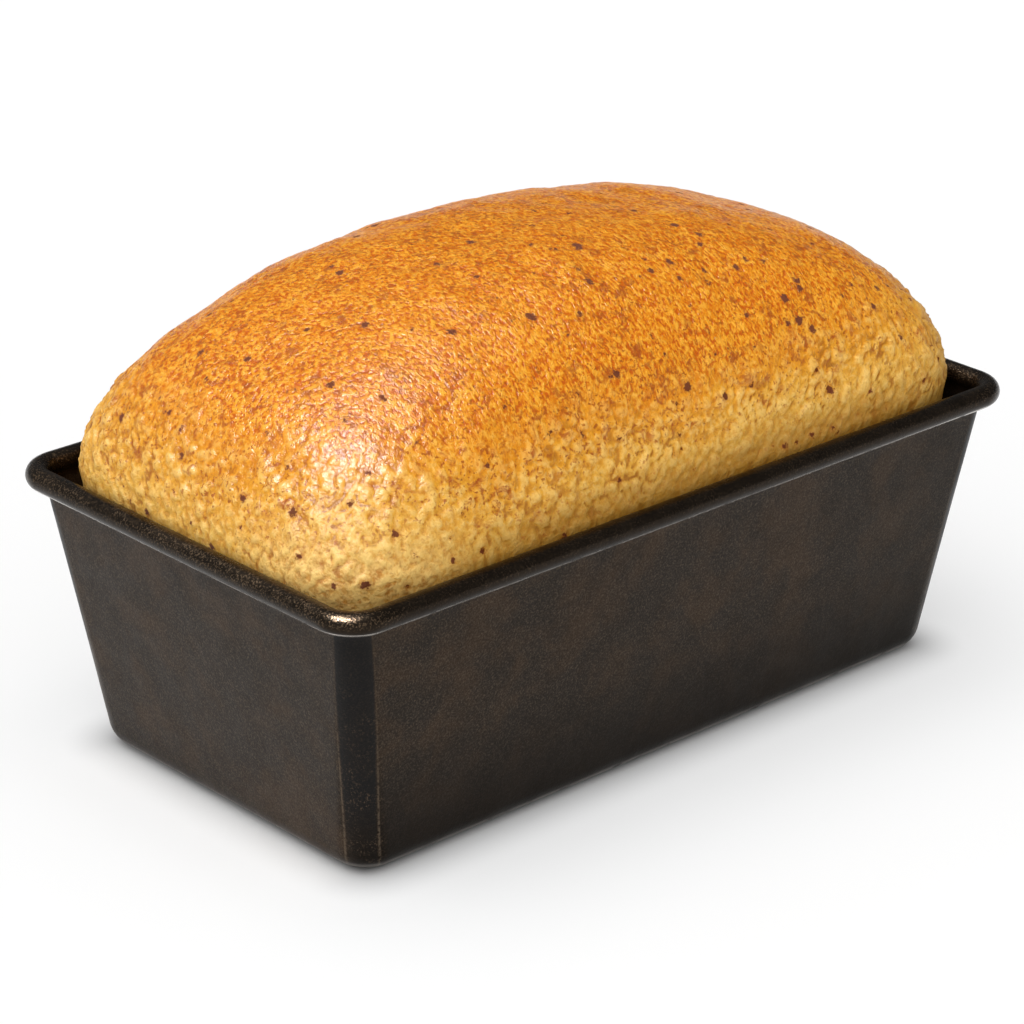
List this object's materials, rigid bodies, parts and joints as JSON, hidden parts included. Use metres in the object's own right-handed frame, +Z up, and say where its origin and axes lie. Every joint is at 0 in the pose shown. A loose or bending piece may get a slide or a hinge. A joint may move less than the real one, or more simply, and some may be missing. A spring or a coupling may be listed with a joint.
{
  "type": "tin loaf",
  "caption": "Tall golden loaf of bread standing above the rolled rim of the dark steel loaf tin it was baked in, a tapered rectangular tin with rounded corners.",
  "frame": {"origin": "middle of the tin's flat underside, on the surface that it stands on", "axes": "+X along the tin, +Y across it, +Z up; the loaf's highest point is a little towards -X"},
  "size_m": [0.239, 0.1372, 0.1369],
  "materials": {
    "tin_steel": "satin, dark seasoned steel with brown patina and worn edges",
    "bread_crust": "satin golden-brown crust on top, paler matte sides"
  },
  "bodies": {
    "root": {"tin": "tin_steel", "loaf": "bread_crust"}
  },
  "joints": []
}
